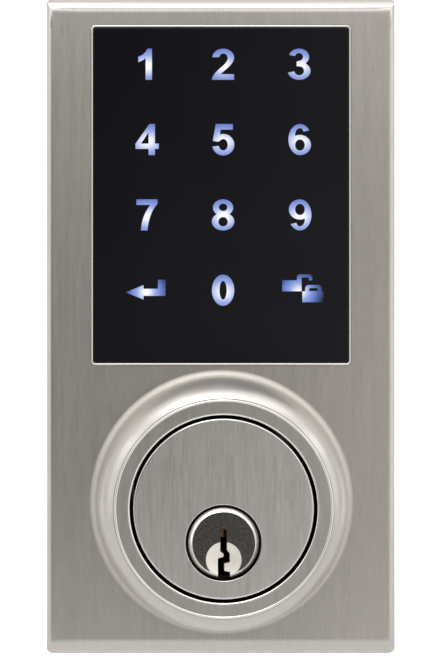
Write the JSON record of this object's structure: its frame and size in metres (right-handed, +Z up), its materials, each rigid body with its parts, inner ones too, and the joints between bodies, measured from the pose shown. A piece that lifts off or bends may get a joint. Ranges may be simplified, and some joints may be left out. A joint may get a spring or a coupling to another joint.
{
  "type": "keypad smart lock",
  "caption": "Deadbolt keypad lock set: outside escutcheon with black touch screen and guarded key cylinder, inside unit with thumbturn, motor gears and battery cover.",
  "frame": {"origin": "centre of the door's cross bore, on the door's outside face, which the outside gasket rests on", "axes": "+Y into the door towards the room, so the keypad faces -Y; +Z up; +X to the right as seen from outside"},
  "size_m": [0.07, 0.1288, 0.1532],
  "materials": {
    "satin_nickel": "satin nickel, fine vertical brushing",
    "bright_nickel": "bright nickel plate",
    "screen_glass": "black printed cover glass, glossy",
    "black_foam": "black foam tape",
    "legend_film": "printed film",
    "clear_diffuser": "frosted clear plastic",
    "green_board": "green solder mask",
    "led_white": "small white LEDs",
    "chip_black": "moulded chip packages",
    "black_plastic": "moulded black plastic",
    "grey_plastic": "glass-filled grey plastic",
    "zinc_steel": "zinc-plated steel",
    "spring_steel": "bright spring steel",
    "cast_zinc": "die-cast zinc",
    "black_rubber": "black rubber sheet",
    "brass": "machined brass",
    "black_wire": "black cable jacket",
    "red_wire": "red wire insulation",
    "ivory_plastic": "ivory connector plastic",
    "gear_plastic": "natural acetal",
    "red_plastic": "red moulded plastic",
    "motor_can": "nickel-plated motor can",
    "cell_wrap": "printed cell sleeve",
    "satin_paint": "satin nickel-coloured paint"
  },
  "bodies": {
    "root": {"escutcheon": "satin_nickel", "screen_bezel": "bright_nickel", "touch_glass": "screen_glass", "glass_adhesive": "black_foam", "legend_film": "legend_film", "light_guide": "clear_diffuser", "touch_board": "green_board", "key_leds": "led_white", "touch_chips": "chip_black", "buzzer": "black_plastic", "touch_board_screws": "zinc_steel", "back_plate": "zinc_steel", "back_plate_screws": "zinc_steel", "door_gasket": "black_rubber", "cylinder_housing": "satin_nickel", "driver_pins": "brass", "pin_springs": "spring_steel", "chamber_cap": "brass", "mounting_posts": "zinc_steel", "through_bolts": "zinc_steel", "signal_cable": "black_wire", "cable_plugs": "ivory_plastic", "mounting_plate": "zinc_steel", "chassis": "grey_plastic", "chassis_screws": "zinc_steel", "idler_pins": "spring_steel", "motor": "motor_can", "gear_plate": "zinc_steel", "gear_plate_screws": "zinc_steel", "main_board": "green_board", "main_chips": "chip_black", "main_board_screws": "zinc_steel", "position_switches": "chip_black", "status_lens": "clear_diffuser", "battery_tray": "black_plastic", "batteries": "cell_wrap", "battery_contacts": "spring_steel", "inner_leads": "red_wire", "inside_cover": "satin_paint", "cover_screws": "zinc_steel"},
    "plug": {"plug": "bright_nickel", "key_pins": "brass", "plug_cap": "brass"},
    "drive": {"tailpiece": "zinc_steel", "drive_hub": "cast_zinc", "hub_gear": "gear_plastic", "position_cam": "red_plastic", "thumbturn": "satin_nickel"},
    "low_idler": {"low_idler": "gear_plastic"},
    "high_idler": {"high_idler": "gear_plastic"},
    "motor_rotor": {"motor_pinion": "brass"},
    "battery_door": {"battery_door": "satin_paint"},
    "program_button": {"program_button": "black_plastic"}
  },
  "joints": [
    {"name": "plug_turn", "type": "hinge", "parent": "root", "child": "plug", "pos_m": [0, -0.015, -0.0062], "axis": [0, 1, 0], "range_deg": [-90, 90]},
    {"name": "drive_turn", "type": "hinge", "parent": "root", "child": "drive", "pos_m": [0, 0.06, -0.0062], "axis": [0, 1, 0], "range_deg": [-90, 90]},
    {"name": "low_idler_turn", "type": "hinge", "parent": "root", "child": "low_idler", "pos_m": [0, 0.056, 0.0178], "axis": [0, 1, 0], "range_deg": [-270, 270]},
    {"name": "high_idler_turn", "type": "hinge", "parent": "root", "child": "high_idler", "pos_m": [0.01573, 0.054, 0.02881], "axis": [0, 1, 0], "range_deg": [-810, 810]},
    {"name": "motor_turn", "type": "hinge", "parent": "root", "child": "motor_rotor", "pos_m": [0.01946, 0.052, 0.04272], "axis": [0, 1, 0], "range_deg": [-2430, 2430]},
    {"name": "battery_door_slide", "type": "slide", "parent": "root", "child": "battery_door", "axis": [0, 0, 1], "range_m": [0, 0.065]},
    {"name": "program_button_press", "type": "slide", "parent": "root", "child": "program_button", "axis": [0, -1, 0], "range_m": [0, 0.001], "stiffness_N_per_m": 300}
  ],
  "couplings": [
    {"joint": "low_idler_turn", "follows": "drive_turn", "ratio": -3},
    {"joint": "high_idler_turn", "follows": "drive_turn", "ratio": 9},
    {"joint": "motor_turn", "follows": "drive_turn", "ratio": -27}
  ]
}
